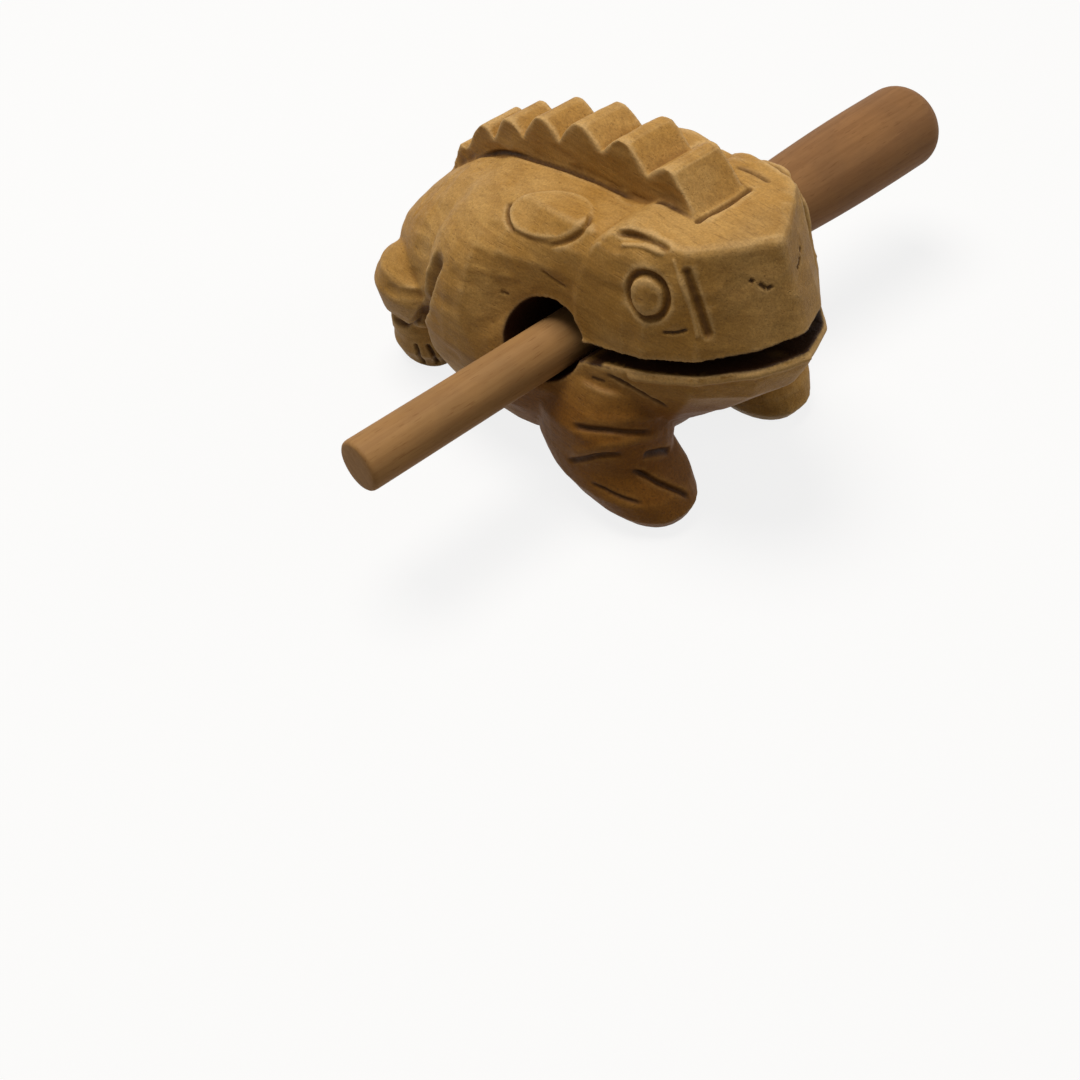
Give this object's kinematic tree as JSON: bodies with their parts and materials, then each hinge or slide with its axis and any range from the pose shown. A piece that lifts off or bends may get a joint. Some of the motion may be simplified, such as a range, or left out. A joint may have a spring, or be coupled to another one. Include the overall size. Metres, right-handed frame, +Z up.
{
  "type": "frog guiro",
  "caption": "Hollow carved wooden frog with a toothed crest on its back and a turned rasp stick stored through its side bore; stroking the crest croaks.",
  "frame": {"origin": "middle of the whole footprint, frog and stored stick together, on the surface that the feet stand on", "axes": "+Z up, -Y the way the frog faces, +X along the stick towards its handle, on the frog's left"},
  "size_m": [0.188, 0.1252, 0.0863],
  "materials": {
    "carved_wood": "hand-carved light hardwood, waxed, with darkened knife cuts",
    "turned_wood": "turned hardwood, sanded and waxed"
  },
  "bodies": {
    "frog": {"frog_body": "carved_wood"},
    "stick": {"rasp_stick": "turned_wood"}
  },
  "joints": [
    {"name": "stick_slide", "type": "slide", "parent": "frog", "child": "stick", "axis": [1, 0, 0], "range_m": [-0.002, 0.125]}
  ]
}
